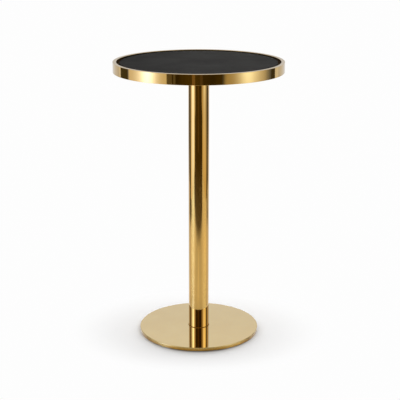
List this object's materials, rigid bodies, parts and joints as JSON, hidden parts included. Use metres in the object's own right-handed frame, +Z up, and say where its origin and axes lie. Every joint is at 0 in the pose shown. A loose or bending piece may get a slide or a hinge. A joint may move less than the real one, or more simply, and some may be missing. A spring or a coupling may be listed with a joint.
{
  "type": "bar table",
  "caption": "Round bar table: recessed black top in a deep polished brass-coloured band, on a round tube and a flat round base.",
  "frame": {"origin": "on the floor, on the column's axis", "axes": "+Z up along the column; X and Y level, with the spider's arms along them and the glides at 45 degrees between them"},
  "size_m": [0.62, 0.62, 1.034],
  "materials": {
    "polished_brass": "mirror polished, brass colour",
    "black_veneer": "matt black stain with a fine straight grain",
    "fibreboard": "dark-stained fibreboard, sealed",
    "black_laminate": "matt balancing sheet",
    "black_powder_coat": "satin powder coat, fine orange peel",
    "zinc_steel": "bright zinc plated",
    "bare_steel": "turned, lightly oiled",
    "black_rubber": "matt",
    "black_nylon": "moulded, matt"
  },
  "bodies": {
    "root": {"rim_band": "polished_brass", "column_tube": "polished_brass", "base_cover": "polished_brass", "inset_panel": "black_veneer", "core_board": "fibreboard", "edge_ring": "fibreboard", "backing_sheet": "black_laminate", "top_spider": "black_powder_coat", "base_weight": "black_powder_coat", "spider_screws": "zinc_steel", "tie_rod": "zinc_steel", "top_washer": "zinc_steel", "top_nut": "zinc_steel", "collar_washer": "zinc_steel", "jam_nut": "zinc_steel", "upper_collar": "bare_steel", "foot_collar": "bare_steel", "column_gasket": "black_rubber"},
    "glide_1_foot": {"glide_pad_1": "black_nylon"},
    "glide_1_screw": {"glide_stud_1": "zinc_steel"},
    "glide_2_foot": {"glide_pad_2": "black_nylon"},
    "glide_2_screw": {"glide_stud_2": "zinc_steel"},
    "glide_3_foot": {"glide_pad_3": "black_nylon"},
    "glide_3_screw": {"glide_stud_3": "zinc_steel"},
    "glide_4_foot": {"glide_pad_4": "black_nylon"},
    "glide_4_screw": {"glide_stud_4": "zinc_steel"}
  },
  "joints": [
    {"name": "glide_1_travel", "type": "slide", "parent": "root", "child": "glide_1_foot", "axis": [0, 0, -1], "range_m": [0, 0.005]},
    {"name": "glide_1_turn", "type": "hinge", "parent": "glide_1_foot", "child": "glide_1_screw", "pos_m": [0.13435, 0.13435, 0.0013], "axis": [0, 0, -1], "range_deg": [0, 1440]},
    {"name": "glide_2_travel", "type": "slide", "parent": "root", "child": "glide_2_foot", "axis": [0, 0, -1], "range_m": [0, 0.005]},
    {"name": "glide_2_turn", "type": "hinge", "parent": "glide_2_foot", "child": "glide_2_screw", "pos_m": [-0.13435, 0.13435, 0.0013], "axis": [0, 0, -1], "range_deg": [0, 1440]},
    {"name": "glide_3_travel", "type": "slide", "parent": "root", "child": "glide_3_foot", "axis": [0, 0, -1], "range_m": [0, 0.005]},
    {"name": "glide_3_turn", "type": "hinge", "parent": "glide_3_foot", "child": "glide_3_screw", "pos_m": [-0.13435, -0.13435, 0.0013], "axis": [0, 0, -1], "range_deg": [0, 1440]},
    {"name": "glide_4_travel", "type": "slide", "parent": "root", "child": "glide_4_foot", "axis": [0, 0, -1], "range_m": [0, 0.005]},
    {"name": "glide_4_turn", "type": "hinge", "parent": "glide_4_foot", "child": "glide_4_screw", "pos_m": [0.13435, -0.13435, 0.0013], "axis": [0, 0, -1], "range_deg": [0, 1440]}
  ],
  "couplings": [
    {"joint": "glide_1_travel", "follows": "glide_1_turn", "m_per_rad": 0.00019894},
    {"joint": "glide_2_travel", "follows": "glide_2_turn", "m_per_rad": 0.00019894},
    {"joint": "glide_3_travel", "follows": "glide_3_turn", "m_per_rad": 0.00019894},
    {"joint": "glide_4_travel", "follows": "glide_4_turn", "m_per_rad": 0.00019894}
  ]
}
